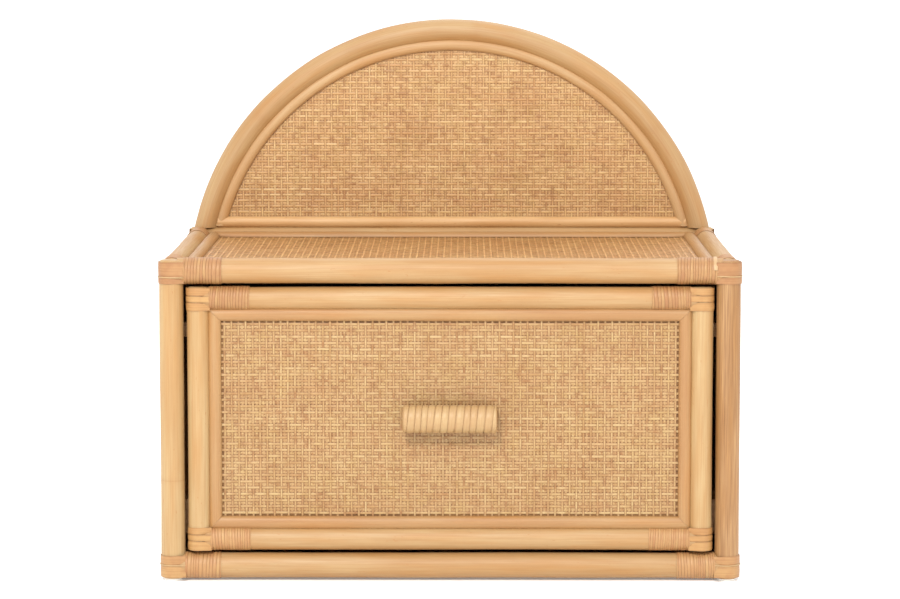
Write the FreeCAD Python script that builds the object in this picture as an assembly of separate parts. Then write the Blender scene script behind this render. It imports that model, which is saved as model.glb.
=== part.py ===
import FreeCAD, Part
import math
import os

# A rattan nightstand: a box frame of round poles, one drawer on wooden runners, and an arched back panel.
# Millimetres. X runs left to right, Y front to back and Z up. The model is built about the middle of its posts.
# Each solid is then moved back a little, so that the origin lies on the floor under the middle of the whole,
# handle included.

# ---------------------------------------------------------------- driving dimensions

WIDTH = 500.0  # over the corner posts
DEPTH = 350.0  # over the corner posts
FRAME_HEIGHT = 280.0  # floor to the crest of the top rails
GLIDE_RISE = 2.0  # underside of the frame above the floor

POST_D = 21.0  # corner poles
LONG_RAIL_D = 22.0  # front and back poles, top and bottom
SIDE_RAIL_D = 20.0  # left and right poles, top and bottom
POST_DROP = 1.5  # a post's top end below the crest of the rails
COPE = 5.5  # how far a rail's saddle laps round its post
POLE_CHAMFER = 0.8  # eased edge at a pole's free end

PEEL = 0.95  # thickness of the wound rattan peel
GLUE = 0.05  # glue film round windings, dowels and screws
CORNER_WRAP = 33.0  # length of a corner winding along its rail
CAP_HEIGHT = 20.5  # height of the winding round the post at each corner

SIDE_BOARD = 6.0  # plywood of the sides and the back
TOP_BOARD = 8.0
BASE_BOARD = 6.0
TOP_SEAT = 0.5  # face of the top board above the rails' axis
WEBBING = 1.5  # woven cane
BEAD_W = 10.0  # split-cane bead that covers the webbing's edge
BEAD_H = 4.5

ARCH_D = 19.5  # pole bent to the arch
ARCH_CENTRE_DROP = 54.8  # centre of the arch below the crest of the rails
ARCH_FOOT_INSET = 4.15  # middle of the arch's foot inside the middle of its post
ARCH_BOARD = 5.0
ARCH_BASE_BEAD = 9.0  # height of the straight bead along the arch's foot
DOWEL_D = 6.0
DOWEL_IN_POST = 8.0
DOWEL_IN_ARCH = 18.0

DRAWER_GAP = 2.7  # between the drawer's frame and the cabinet's, all round
DRAWER_POLE_D = 19.5
DRAWER_SETBACK = 0.5  # drawer poles behind the fronts of the posts
DRAWER_WRAP = 32.0
DRAWER_BOARD = 12.0  # plywood behind the drawer's webbing

BOX_INSET = 11.0  # drawer box inside the posts' inner edges
BOX_SIDE = 12.0
BOX_END = 10.0  # inner front and back of the drawer box
BOX_LENGTH = 272.0  # length of the drawer's sides
BOX_BOTTOM = 4.0
BOTTOM_GROOVE = 4.0  # depth of the grooves that hold the drawer's bottom
BOTTOM_LIFT = 8.0  # bottom board above the lower edge of the sides
BACK_INSET = 8.0  # drawer back inside the ends of the sides

RUNNER_TOP = 48.0
RUNNER_LEDGE = 10.0
RUNNER_GUIDE = 20.0  # guide above the ledge
RUNNER_LAP = 2.0  # ledge reaches this far inside the drawer's sides
RUNNER_LENGTH = 300.0
RUN_CLEARANCE = 0.3  # under the drawer's sides and at the closed stop
GUIDE_CLEARANCE = 0.5  # beside the drawer's sides
KICKER_CLEARANCE = 2.0  # over the drawer's sides
KICKER = 12.0
KICKER_DROP = 39.2  # top of the kickers below the top board
STOP_LENGTH = 12.0
STOP_HEIGHT = 14.0

HANDLE_D = 24.4  # over the winding
HANDLE_LENGTH = 81.5
HANDLE_PEEL = 1.2
HANDLE_END = 1.2  # core showing past the winding at each end
HANDLE_LIFT = 1.5  # handle above the middle of the drawer's front
HANDLE_SCREWS = 50.0  # spacing

FRAME_SCREW = (3.5, 7.0, 45.0)  # shank, head, length
RUNNER_SCREW = (3.5, 7.0, 19.5)
FRONT_SCREW = (3.5, 7.0, 18.0)
HANDLE_SCREW = (4.0, 8.0, 30.0)
SCREW_SUNK = 0.7  # head below the surface it is driven through
SCREW_EDGE = 3.5  # axis of the screw into a long rail from the rail's surface
SIDE_SCREW_OFFSET = 2.5  # axis of the screw into a side rail from the rail's axis

GLIDE_D = 16.0
GLIDE_NAIL_D = 2.6
GLIDE_NAIL = 8.5

# ---------------------------------------------------------------- places that follow from them

V = FreeCAD.Vector
X, Y, Z = V(1, 0, 0), V(0, 1, 0), V(0, 0, 1)
SIDES = (("left", -1), ("right", 1))
ENDS = (("front", -1), ("back", 1))

post_x = WIDTH / 2 - POST_D / 2
post_y = DEPTH / 2 - POST_D / 2
post_in_x = post_x - POST_D / 2
post_in_y = post_y - POST_D / 2
post_top = FRAME_HEIGHT - POST_DROP
long_y = DEPTH / 2 - LONG_RAIL_D / 2
long_in_y = long_y - LONG_RAIL_D / 2
side_x = WIDTH / 2 - SIDE_RAIL_D / 2
side_in_x = side_x - SIDE_RAIL_D / 2
top_z = FRAME_HEIGHT - LONG_RAIL_D / 2
low_z = GLIDE_RISE + LONG_RAIL_D / 2
LEVELS = (("top", top_z, -1), ("bottom", low_z, 1))
long_wrap_x = min(post_in_x, side_in_x - GLUE - PEEL)  # a winding starts clear of the post and of the other rail
side_wrap_y = min(post_in_y, long_in_y)

arch_foot_x = post_x - ARCH_FOOT_INSET
arch_r = math.hypot(arch_foot_x, ARCH_CENTRE_DROP)
arch_z = FRAME_HEIGHT - ARCH_CENTRE_DROP
arch_y = post_y
arch_in_r = arch_r - ARCH_D / 2

drawer_x = post_in_x - DRAWER_GAP - DRAWER_POLE_D / 2
drawer_in_x = drawer_x - DRAWER_POLE_D / 2
drawer_y = -DEPTH / 2 + DRAWER_SETBACK + DRAWER_POLE_D / 2
drawer_low = low_z + LONG_RAIL_D / 2 + DRAWER_GAP
drawer_high = top_z - LONG_RAIL_D / 2 - DRAWER_GAP
drawer_low_z = drawer_low + DRAWER_POLE_D / 2
drawer_high_z = drawer_high - DRAWER_POLE_D / 2
front_back_y = drawer_y + DRAWER_BOARD  # back face of the drawer's front board
webbing_front_y = drawer_y - WEBBING

box_x = post_in_x - BOX_INSET
box_in_x = box_x - BOX_SIDE
box_low = RUNNER_TOP + RUN_CLEARANCE
kicker_low = top_z + TOP_SEAT - TOP_BOARD - KICKER_DROP - KICKER
box_high = kicker_low - KICKER_CLEARANCE
box_front_y = front_back_y + BOX_END
box_back_y = box_front_y + BOX_LENGTH
bottom_low = box_low + BOTTOM_LIFT
side_board_in_x = post_x - SIDE_BOARD

handle_z = (drawer_low + drawer_high) / 2 + HANDLE_LIFT
handle_y = webbing_front_y - HANDLE_D / 2
core_d = HANDLE_D - 2 * (HANDLE_PEEL + GLUE)

whole_front_y = handle_y - HANDLE_D / 2
whole_back_y = DEPTH / 2 + GLUE + PEEL
origin_shift = V(0, -(whole_front_y + whole_back_y) / 2, 0)

nodes = {}


# ---------------------------------------------------------------- shapes


def rod(start, end, diameter):
    """A plain round pole from one point to another."""
    start, end = V(*start), V(*end)
    return Part.makeCylinder(diameter / 2, (end - start).Length, start, end - start)


def eased_rod(start, end, diameter):
    """A pole whose two end edges are eased."""
    pole = rod(start, end, diameter)
    rims = [e for e in pole.Edges if isinstance(e.Curve, Part.Circle)]
    return pole.makeChamfer(POLE_CHAMFER, rims)


def sleeve(start, end, diameter, wall):
    """A winding of that wall round a pole of that diameter."""
    inner = diameter + 2 * GLUE
    return rod(start, end, inner + 2 * wall).cut(rod(start, end, inner))


def slab(x, y, z):
    """A box between two values on each axis."""
    return Part.makeBox(x[1] - x[0], y[1] - y[0], z[1] - z[0], V(x[0], y[0], z[0]))


def prism(points, run):
    """A closed outline of points, drawn out along a vector."""
    corners = [V(*p) for p in points]
    return Part.Face(Part.makePolygon([*corners, corners[0]])).extrude(run)


def screw(head, direction, size, grow=0.0):
    """A countersunk screw. head is the centre of its head's face. grow makes the hole that it sits in."""
    shank_d, head_d, length = size
    head, direction = V(*head), V(*direction)
    cone_height = (head_d - shank_d) / 2
    shank = Part.makeCylinder(shank_d / 2 + grow, length + grow, head, direction)
    cone = Part.makeCone(head_d / 2 + grow, shank_d / 2 + grow, cone_height, head, direction)
    body = shank.fuse(cone)
    if grow:
        body = body.fuse(Part.makeCylinder(head_d / 2 + grow, SCREW_SUNK + 2, head, direction * -1))
    return body.removeSplitter()


def tuck(pole_d, offset):
    """How far a round pole's surface falls back, at an offset from its middle plane."""
    return pole_d / 2 - math.sqrt(pole_d**2 / 4 - offset**2) - GLUE


def bead_outline(start, across, outward, width, height):
    """Half-oval outline: flat on the webbing and crowned in the middle."""
    start = V(*start)
    end = start + across * width
    crown = start + across * (width / 2) + outward * height
    arc = Part.Arc(start, crown, end).toShape()
    return Part.Face(Part.Wire([arc, Part.makeLine(end, start)]))


def mitred_bead(outer, inner, run, across, base):
    """A straight bead over the trapezium between two corners of the outer rectangle and two of the inner."""
    a, b = outer
    c, d = inner
    width = abs((V(*c) - V(*a)).dot(across))
    lift = V(0, 0, base)
    strip = bead_outline(V(*a) + lift, across, Z, width, BEAD_H).extrude(run)
    mitre = prism([V(*a) + lift, V(*b) + lift, V(*d) + lift, V(*c) + lift], V(0, 0, BEAD_H + 1))
    return strip.common(mitre)


def bead_frame(u, v, tuck_u, tuck_v, base):
    """Four mitred beads round the rectangle +-u by v[0]..v[1], lying at height base in panel axes."""
    left, right = -u - tuck_u, u + tuck_u
    low, high = v[0] - tuck_v, v[1] + tuck_v
    in_left, in_right, in_low, in_high = -u + BEAD_W, u - BEAD_W, v[0] + BEAD_W, v[1] - BEAD_W
    width, height = V(right - left, 0, 0), V(0, high - low, 0)
    corners = {
        "low": (((left, low, 0), (right, low, 0)), ((in_left, in_low, 0), (in_right, in_low, 0)), width, Y),
        "high": (((left, high, 0), (right, high, 0)), ((in_left, in_high, 0), (in_right, in_high, 0)), width, Y * -1),
        "left": (((left, low, 0), (left, high, 0)), ((in_left, in_low, 0), (in_left, in_high, 0)), height, X),
        "right": (((right, low, 0), (right, high, 0)), ((in_right, in_low, 0), (in_right, in_high, 0)), height, X * -1),
    }
    return [mitred_bead(outer, inner, run, across, base) for outer, inner, run, across in corners.values()]


def place(shape, u, v, n):
    """Turns a shape from panel axes, u across, v up and n outwards, to the nightstand's."""
    turned = shape.copy()
    turned.Placement = FreeCAD.Placement(V(0, 0, 0), FreeCAD.Rotation(u, v, n, "ZXY")).multiply(turned.Placement)
    return turned


def whole(shape):
    """The piece itself, without the crumbs that a cut beside a winding leaves."""
    return max(shape.Solids, key=lambda solid: solid.Volume)


def framed_panel(axes, u, v, seat, board, tucks, windings):
    """A plywood board, its webbing and four beads inside a rectangle of poles. seat is the board's outer face."""
    plywood = slab((-u + GLUE, u - GLUE), (v[0] + GLUE, v[1] - GLUE), (seat - board, seat))
    woven = slab((-u + GLUE, u - GLUE), (v[0] + GLUE, v[1] - GLUE), (seat, seat + WEBBING))
    beads = bead_frame(u, v, *tucks, seat + WEBBING)
    placed = [whole(place(piece, *axes).cut(windings)) for piece in (plywood, woven, *beads)]
    return placed[0], placed[1], placed[2:]


def add(name, *pieces):
    """Keeps the solids of one node."""
    solids = [s for piece in pieces for s in piece.Solids]
    nodes[name] = solids[0] if len(solids) == 1 else Part.makeCompound(solids)


# ---------------------------------------------------------------- corner frame


def corners():
    """Every corner post as (name, side of X, end of Y)."""
    return [(f"post_{end}_{side}", sx, sy) for end, sy in ENDS for side, sx in SIDES]


def make_rails():
    """Round rails, each coped to the posts it meets. Side rails are coped to the long rails too."""
    posts = [rod((sx * post_x, sy * post_y, 0), (sx * post_x, sy * post_y, FRAME_HEIGHT), POST_D)
             for _, sx, sy in corners()]
    long_end, side_end = post_in_x + COPE, post_in_y + COPE
    rails = {}
    for level, z, _ in LEVELS:
        for end, sy in ENDS:
            pole = rod((-long_end, sy * long_y, z), (long_end, sy * long_y, z), LONG_RAIL_D)
            rails[f"{level}_rail_{end}"] = pole.cut(posts)
        for side, sx in SIDES:
            pole = rod((sx * side_x, -side_end, z), (sx * side_x, side_end, z), SIDE_RAIL_D)
            met = [rails[f"{level}_rail_{end}"] for end, _ in ENDS]
            rails[f"{level}_rail_{side}"] = pole.cut([*posts, *met])
    return rails


def make_windings():
    """Peel wound round the rails beside each corner: (level, winding, the whole round that it fills)."""
    windings = []
    for level, z, _ in LEVELS:
        for _, sx in SIDES:
            for _, sy in ENDS:
                start = (sx * long_wrap_x, sy * long_y, z)
                end = (sx * (long_wrap_x - CORNER_WRAP), sy * long_y, z)
                windings.append((level, start, end, LONG_RAIL_D))
                start = (sx * side_x, sy * (side_wrap_y - GLUE), z)
                end = (sx * side_x, sy * (side_wrap_y - CORNER_WRAP), z)
                windings.append((level, start, end, SIDE_RAIL_D))
    return [(level, sleeve(a, b, d, PEEL), rod(a, b, d + 2 * (PEEL + 2 * GLUE))) for level, a, b, d in windings]


def cap_ends(sx, sy, level):
    """The lower and upper ends of the winding round a post."""
    low, high = (post_top - CAP_HEIGHT, post_top) if level == "top" else (GLIDE_RISE, GLIDE_RISE + CAP_HEIGHT)
    return (sx * post_x, sy * post_y, low), (sx * post_x, sy * post_y, high)


def make_cap(sx, sy, level, cutters):
    """Peel laid round the outside of a post, from the one rail to the other."""
    (_, _, low), (_, _, high) = cap_ends(sx, sy, level)
    ring = sleeve(*cap_ends(sx, sy, level), POST_D, PEEL)
    reach = POST_D
    inside = slab(
        sorted((sx * post_x, sx * (post_x - reach))),
        sorted((sy * post_y, sy * (post_y - reach))),
        (low - 1, high + 1),
    )
    return whole(ring.cut([inside, *cutters]))


def frame_screws():
    """Screws through the posts into the ends of the rails, hidden by the caps: (head, direction, size)."""
    places = []
    for _, sx, sy in corners():
        for _, z, inward in LEVELS:
            into_long = z + inward * (LONG_RAIL_D / 2 - SCREW_EDGE)
            into_side = z + inward * SIDE_SCREW_OFFSET
            places.append(((sx * (WIDTH / 2 - SCREW_SUNK), sy * post_y, into_long), (-sx, 0, 0), FRAME_SCREW))
            places.append(((sx * post_x, sy * (DEPTH / 2 - SCREW_SUNK), into_side), (0, -sy, 0), FRAME_SCREW))
    return places


def make_glide(sx, sy):
    """A nail-on glide: a low disc with a moulded-in nail."""
    disc = rod((sx * post_x, sy * post_y, 0), (sx * post_x, sy * post_y, GLIDE_RISE), GLIDE_D)
    rim = [e for e in disc.Edges if isinstance(e.Curve, Part.Circle) and e.BoundBox.ZMax < GLIDE_RISE / 2]
    disc = disc.makeChamfer(POLE_CHAMFER, rim)
    nail = rod((sx * post_x, sy * post_y, 0), (sx * post_x, sy * post_y, GLIDE_RISE + GLIDE_NAIL), GLIDE_NAIL_D)
    return disc.fuse(nail).removeSplitter()


def dowel(sx, grow=0.0):
    """The upright dowel that joins one foot of the arch to its post."""
    low, high = post_top - DOWEL_IN_POST - grow, post_top + DOWEL_IN_ARCH + grow
    return rod((sx * arch_foot_x, arch_y, low), (sx * arch_foot_x, arch_y, high), DOWEL_D + 2 * grow)


def build_frame():
    """Posts, rails, windings, glides and the screws that join them. Returns the rounds that windings fill."""
    rails = make_rails()
    windings = make_windings()
    rounds = [filled for _, _, filled in windings]
    screws = frame_screws()
    holes = [screw(*s, grow=GLUE) for s in screws]
    dowel_holes = [dowel(sx, GLUE) for _, sx in SIDES]
    nails = [
        rod((sx * post_x, sy * post_y, 0), (sx * post_x, sy * post_y, GLIDE_RISE + GLIDE_NAIL + GLUE),
            GLIDE_NAIL_D + 2 * GLUE)
        for _, sx, sy in corners()
    ]
    for name, sx, sy in corners():
        pole = eased_rod((sx * post_x, sy * post_y, GLIDE_RISE), (sx * post_x, sy * post_y, post_top), POST_D)
        add(name, pole.cut([*holes, *dowel_holes, *nails]))
    for name, rail in rails.items():
        add(name, rail.cut(holes))
    for level, _, _ in LEVELS:
        met = [rails[name] for name in rails if name.startswith(level)]
        caps = [make_cap(sx, sy, level, [*met, *rounds]) for _, sx, sy in corners()]
        wound = [piece for at, piece, _ in windings if at == level]
        add(f"{level}_corner_bindings", *wound, *caps)
    add("frame_screws", *[screw(*s) for s in screws])
    add("glides", *[make_glide(sx, sy) for _, sx, sy in corners()])
    over_caps = POST_D + 2 * (PEEL + 2 * GLUE)
    cap_rounds = [rod(*cap_ends(sx, sy, level), over_caps) for _, sx, sy in corners() for level, _, _ in LEVELS]
    return [*rounds, *cap_rounds]


# ---------------------------------------------------------------- panels of the cabinet


def build_panels(rounds):
    """Top, sides, back and base of the cabinet, each let in between its poles."""
    top_tucks = (tuck(SIDE_RAIL_D, TOP_SEAT + WEBBING), tuck(LONG_RAIL_D, TOP_SEAT + WEBBING))
    top = framed_panel((X, Y, Z), side_in_x, (-long_in_y, long_in_y), top_z + TOP_SEAT, TOP_BOARD, top_tucks, rounds)
    add("top_board", top[0])
    add("top_webbing", top[1])
    add("top_beads", *top[2])

    side_v = (low_z + SIDE_RAIL_D / 2, top_z - SIDE_RAIL_D / 2)
    face = post_x + WEBBING
    side_tucks = (tuck(POST_D, WEBBING), tuck(SIDE_RAIL_D, face - side_x))
    for side, sx in SIDES:
        axes = (Y * sx, Z, X * sx)
        board, woven, beads = framed_panel(axes, post_in_y, side_v, post_x, SIDE_BOARD, side_tucks, rounds)
        add(f"side_board_{side}", board.cut([screw(*s, grow=GLUE) for s in runner_screws()]))
        add(f"side_webbing_{side}", woven)
        add(f"side_beads_{side}", *beads)

    back_v = (low_z + LONG_RAIL_D / 2, top_z - LONG_RAIL_D / 2)
    face = long_y + WEBBING
    back_tucks = (tuck(POST_D, face - post_y), tuck(LONG_RAIL_D, WEBBING))
    back = framed_panel((X * -1, Z, Y), post_in_x, back_v, long_y, SIDE_BOARD, back_tucks, rounds)
    add("back_board", back[0])
    add("back_webbing", back[1])
    add("back_beads", *back[2])

    half_x, half_y = side_in_x - GLUE, long_in_y - GLUE
    base = slab((-half_x, half_x), (-half_y, half_y), (low_z - BASE_BOARD / 2, low_z + BASE_BOARD / 2))
    add("base_board", base.cut(rounds))


# ---------------------------------------------------------------- arched back panel


def swept(profile):
    """An outline drawn round the arch's centre, from the right-hand foot up and over to the left."""
    start = math.degrees(math.asin((post_top - ARCH_D - arch_z) / arch_r))
    centre = V(0, arch_y, arch_z)
    turned = profile.copy()
    turned.rotate(centre, Y, -start)
    return turned.revolve(centre, Y, -(180 - 2 * start))


def above(shape, z):
    """What of a shape lies above a level."""
    reach = WIDTH
    return shape.cut(slab((-reach, reach), (-reach, reach), (z - reach, z)))


def arch_disc(radius, y, low):
    """A sheet cut to the arch: a disc about the arch's centre, above its straight foot."""
    disc = rod((0, y[0], arch_z), (0, y[1], arch_z), 2 * radius)
    return above(disc, low)


def arch_beads(facing, rails_and_rounds):
    """The curved and the straight bead on one face of the arch panel."""
    base_y = arch_y + facing * (ARCH_BOARD / 2 + WEBBING)
    inner_r = arch_in_r - BEAD_W
    edge = tuck(ARCH_D, ARCH_BOARD / 2 + WEBBING)
    outline = bead_outline((inner_r, base_y, arch_z), X, Y * facing, BEAD_W + edge, BEAD_H)
    curved = above(swept(outline), FRAME_HEIGHT + GLUE).cut(rails_and_rounds)
    foot = bead_outline((-inner_r, base_y, FRAME_HEIGHT + GLUE), Z, Y * facing, ARCH_BASE_BEAD, BEAD_H)
    straight = foot.extrude(X * (2 * inner_r))
    reach = sorted((base_y, base_y + facing * BEAD_H))
    inside = rod((0, reach[0] - 1, arch_z), (0, reach[1] + 1, arch_z), 2 * (inner_r - GLUE))
    return curved, straight.common(inside).cut(rails_and_rounds)


def build_arch(rounds):
    """The bent pole and the webbed panel inside it, standing on the back rail and the back posts."""
    met = [nodes["top_rail_back"], nodes["top_rail_left"], nodes["top_rail_right"], *rounds]
    ring = Part.Face(Part.Wire(Part.makeCircle(ARCH_D / 2, V(arch_r, arch_y, arch_z), Z)))
    pole = above(swept(ring), post_top)
    add("arch_pole", pole.cut([*met, *[dowel(sx, GLUE) for _, sx in SIDES]]))
    add("arch_dowels", *[dowel(sx) for _, sx in SIDES])

    half = ARCH_BOARD / 2
    low = FRAME_HEIGHT + GLUE
    add("arch_board", arch_disc(arch_in_r - GLUE, (arch_y - half, arch_y + half), low).cut(met))
    for face, facing in ENDS:
        y = sorted((arch_y + facing * half, arch_y + facing * (half + WEBBING)))
        add(f"arch_webbing_{face}", arch_disc(arch_in_r - GLUE, y, low).cut(met))
    curved, straight = arch_beads(-1, met)
    add("arch_inner_bead", curved)
    add("arch_base_bead", straight)
    add("arch_back_beads", *arch_beads(1, met))


# ---------------------------------------------------------------- runners


def runner_screws():
    """Screws through the runners' guides into the side boards: (head, direction, size)."""
    places = []
    for _, sx in SIDES:
        for y in (-RUNNER_LENGTH / 3, 0, RUNNER_LENGTH / 3):
            head = (sx * (box_x + GUIDE_CLEARANCE + SCREW_SUNK), y, RUNNER_TOP + RUNNER_GUIDE / 2)
            places.append((head, (sx, 0, 0), RUNNER_SCREW))
    return places


def build_runners():
    """L-shaped wooden runners, kickers over the drawer's sides, and stops behind them."""
    half = RUNNER_LENGTH / 2
    inner, guide, wall = box_in_x - RUNNER_LAP, box_x + GUIDE_CLEARANCE, side_board_in_x
    low, high = RUNNER_TOP - RUNNER_LEDGE, RUNNER_TOP + RUNNER_GUIDE
    holes = [screw(*s, grow=GLUE) for s in runner_screws()]
    kickers, stops = [], []
    for side, sx in SIDES:
        outline = [(inner, low), (wall, low), (wall, high), (guide, high), (guide, RUNNER_TOP), (inner, RUNNER_TOP)]
        runner = prism([(sx * x, -half, z) for x, z in outline], Y * RUNNER_LENGTH)
        add(f"runner_{side}", runner.cut(holes))
        over = (kicker_low, kicker_low + KICKER)
        kickers.append(slab(sorted((sx * box_in_x, sx * wall)), (-half, half), over))
        behind = box_back_y + RUN_CLEARANCE
        stops.append(
            slab(sorted((sx * box_in_x, sx * guide)), (behind, behind + STOP_LENGTH),
                 (RUNNER_TOP, RUNNER_TOP + STOP_HEIGHT))
        )
    add("drawer_kickers", *kickers)
    add("drawer_stops", *stops)
    add("runner_screws", *[screw(*s) for s in runner_screws()])


# ---------------------------------------------------------------- drawer


def handle_screws():
    """Screws from behind the drawer's front board into the handle."""
    return [((sx * HANDLE_SCREWS / 2, front_back_y - SCREW_SUNK, handle_z), (0, -1, 0), HANDLE_SCREW)
            for _, sx in SIDES]


def front_screws():
    """Screws from inside the drawer box into its front board."""
    inset_x, inset_z = box_in_x / 4, (box_high - box_low) / 5
    return [((sx * (box_in_x - inset_x), box_front_y - SCREW_SUNK, z), (0, -1, 0), FRONT_SCREW)
            for _, sx in SIDES for z in (bottom_low + inset_z, box_high - inset_z)]


def build_drawer_front():
    """The drawer's pole frame with its windings, and the webbed board inside it."""
    stiles = [rod((sx * drawer_x, drawer_y, drawer_low), (sx * drawer_x, drawer_y, drawer_high), DRAWER_POLE_D)
              for _, sx in SIDES]
    rail_end = drawer_in_x + COPE
    rails, windings, rounds, caps = [], [], [], []
    for level, z in (("top", drawer_high_z), ("bottom", drawer_low_z)):
        rail = rod((-rail_end, drawer_y, z), (rail_end, drawer_y, z), DRAWER_POLE_D).cut(stiles)
        add(f"drawer_rail_{level}", rail)
        rails.append(rail)
        for _, sx in SIDES:
            start = (sx * drawer_in_x, drawer_y, z)
            end = (sx * (drawer_in_x - DRAWER_WRAP), drawer_y, z)
            windings.append(sleeve(start, end, DRAWER_POLE_D, PEEL))
            rounds.append(rod(start, end, DRAWER_POLE_D + 2 * (PEEL + 2 * GLUE)))
    for side, sx in SIDES:
        low, high = (sx * drawer_x, drawer_y, drawer_low), (sx * drawer_x, drawer_y, drawer_high)
        add(f"drawer_stile_{side}", eased_rod(low, high, DRAWER_POLE_D))
        for z0, z1 in ((drawer_low, drawer_low + CAP_HEIGHT), (drawer_high - CAP_HEIGHT, drawer_high)):
            ring = sleeve((sx * drawer_x, drawer_y, z0 + GLUE), (sx * drawer_x, drawer_y, z1 - GLUE),
                          DRAWER_POLE_D, PEEL)
            open_side = slab(sorted((0, sx * (drawer_in_x + DRAWER_POLE_D / 4))),
                             (drawer_y - DRAWER_POLE_D, drawer_y + DRAWER_POLE_D), (z0 - 1, z1 + 1))
            caps.append(ring.cut([*rails, *rounds, open_side]))
            rounds.append(rod((sx * drawer_x, drawer_y, z0), (sx * drawer_x, drawer_y, z1),
                              DRAWER_POLE_D + 2 * (PEEL + 2 * GLUE)))
    add("drawer_corner_bindings", *windings, *caps)

    v = (drawer_low + DRAWER_POLE_D, drawer_high - DRAWER_POLE_D)
    tucks = (tuck(DRAWER_POLE_D, WEBBING), tuck(DRAWER_POLE_D, WEBBING))
    board, woven, beads = framed_panel((X, Z, Y * -1), drawer_in_x, v, -drawer_y, DRAWER_BOARD, tucks, rounds)
    holes = [screw(*s, grow=GLUE) for s in (*handle_screws(), *front_screws())]
    add("drawer_front_board", board.cut(holes))
    add("drawer_webbing", woven.cut(holes))
    add("drawer_beads", *beads)


def build_drawer_box():
    """Sides, inner front, back and bottom. The bottom lies in grooves in all four."""
    groove = BOTTOM_GROOVE
    bottom_x = box_in_x + groove
    bottom_y = (box_front_y - groove, box_back_y - BACK_INSET - BOX_END + groove)
    bottom_z = (bottom_low, bottom_low + BOX_BOTTOM)
    slot = slab((-bottom_x, bottom_x), bottom_y, bottom_z)
    shy = GLUE
    bottom = slab((-bottom_x + shy, bottom_x - shy), (bottom_y[0] + shy, bottom_y[1] - shy),
                  (bottom_z[0] + shy, bottom_z[1] - shy))
    height = (box_low, box_high)
    for side, sx in SIDES:
        wall = slab(sorted((sx * box_in_x, sx * box_x)), (box_front_y, box_back_y), height)
        add(f"drawer_side_{side}", wall.cut(slot))
    front = slab((-box_x, box_x), (front_back_y, box_front_y), height)
    holes = [screw(*s, grow=GLUE) for s in front_screws()]
    add("drawer_box_front", front.cut([slot, *holes]))
    back_y = (box_back_y - BACK_INSET - BOX_END, box_back_y - BACK_INSET)
    add("drawer_back", slab((-box_in_x, box_in_x), back_y, height).cut(slot))
    add("drawer_bottom", bottom)
    add("drawer_front_screws", *[screw(*s) for s in front_screws()])


def build_handle():
    """A short pole wound from end to end, screwed flat against the webbing."""
    half = HANDLE_LENGTH / 2
    holes = [screw(*s, grow=GLUE) for s in handle_screws()]
    core = eased_rod((-half, handle_y, handle_z), (half, handle_y, handle_z), core_d)
    wound = half - HANDLE_END
    winding = sleeve((-wound, handle_y, handle_z), (wound, handle_y, handle_z), core_d, HANDLE_PEEL)
    add("handle_bar", core.cut(holes))
    add("handle_binding", winding.cut(holes))
    add("handle_screws", *[screw(*s) for s in handle_screws()])


# ---------------------------------------------------------------- build and write


winding_rounds = build_frame()
build_panels(winding_rounds)
build_arch(winding_rounds)
build_runners()
build_drawer_front()
build_drawer_box()
build_handle()

os.makedirs("parts", exist_ok=True)
for node_name, built in nodes.items():
    shape = built.translated(origin_shift)
    shape.exportStep(f"parts/{node_name}.step")
    print(f"{node_name}: {len(shape.Solids)} solid(s), {shape.Volume / 1000:.1f} cm3, valid {shape.isValid()}")
print(f"{len(nodes)} nodes")
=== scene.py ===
import contextlib
import itertools
import math
import random

import bmesh
import bpy
from mathutils import Matrix, Vector


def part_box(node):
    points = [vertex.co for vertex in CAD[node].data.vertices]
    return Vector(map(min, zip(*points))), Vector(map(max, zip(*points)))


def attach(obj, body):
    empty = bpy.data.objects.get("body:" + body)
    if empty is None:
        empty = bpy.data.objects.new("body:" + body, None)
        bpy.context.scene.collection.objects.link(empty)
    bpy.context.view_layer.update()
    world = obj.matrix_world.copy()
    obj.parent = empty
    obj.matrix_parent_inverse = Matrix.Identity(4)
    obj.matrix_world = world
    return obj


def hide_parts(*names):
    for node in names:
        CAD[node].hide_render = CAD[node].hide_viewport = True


# A rattan nightstand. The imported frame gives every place. The pieces that a maker bends, winds and weaves
# are modelled here: poles with growth rings, peel wound round the corners, split-cane beads and woven cane.

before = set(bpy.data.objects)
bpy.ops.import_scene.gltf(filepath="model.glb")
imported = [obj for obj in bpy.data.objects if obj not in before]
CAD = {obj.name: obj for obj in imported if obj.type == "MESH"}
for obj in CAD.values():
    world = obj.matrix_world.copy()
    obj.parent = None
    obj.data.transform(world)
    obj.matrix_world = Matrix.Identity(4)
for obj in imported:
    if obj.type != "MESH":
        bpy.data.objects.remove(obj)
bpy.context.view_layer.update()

MM = 0.001
X, Y, Z = Vector((1, 0, 0)), Vector((0, 1, 0)), Vector((0, 0, 1))
LEVELS = ("top", "bottom")
SIDES = (("left", -1), ("right", 1))  # names and signs along X
ENDS = (("front", -1), ("back", 1))  # names and signs along Y

# ---------------------------------------------------------------- sizes of the cane and the windings

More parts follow.
